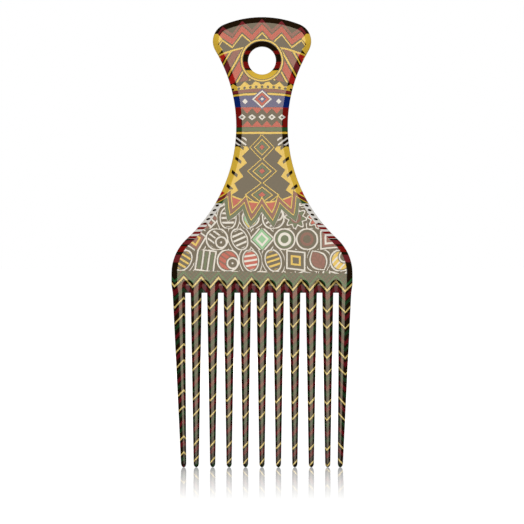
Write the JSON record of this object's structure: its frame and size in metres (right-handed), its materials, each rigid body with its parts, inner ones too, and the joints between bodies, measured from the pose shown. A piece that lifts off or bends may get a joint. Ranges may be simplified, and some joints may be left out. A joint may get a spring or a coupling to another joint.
{
  "type": "afro pick",
  "caption": "Flat plastic hair pick with long tapered teeth, a broad shoulder, a waisted grip and a flared head with a round hanging hole, for lifting and combing curly hair.",
  "frame": {"origin": "centre of the hanging hole in the head, halfway through the plate", "axes": "+Z along the teeth, from the tips up to the head; -Y out of the front face; +X across the teeth, to the right as the front is seen"},
  "size_m": [0.0716, 0.005, 0.178],
  "materials": {
    "handle_print": "glossy moulded plastic with a patterned wrap print under clear lacquer",
    "bar_print": "glossy moulded plastic with a patterned wrap print under clear lacquer",
    "tooth_print": "glossy moulded plastic with a chevron wrap print under clear lacquer"
  },
  "bodies": {
    "root": {"handle": "handle_print", "tooth_bar": "bar_print", "end_tooth_left": "tooth_print", "end_tooth_right": "tooth_print", "tooth_02": "tooth_print", "tooth_03": "tooth_print", "tooth_04": "tooth_print", "tooth_05": "tooth_print", "tooth_06": "tooth_print", "tooth_07": "tooth_print", "tooth_08": "tooth_print", "tooth_09": "tooth_print", "tooth_10": "tooth_print"}
  },
  "joints": []
}
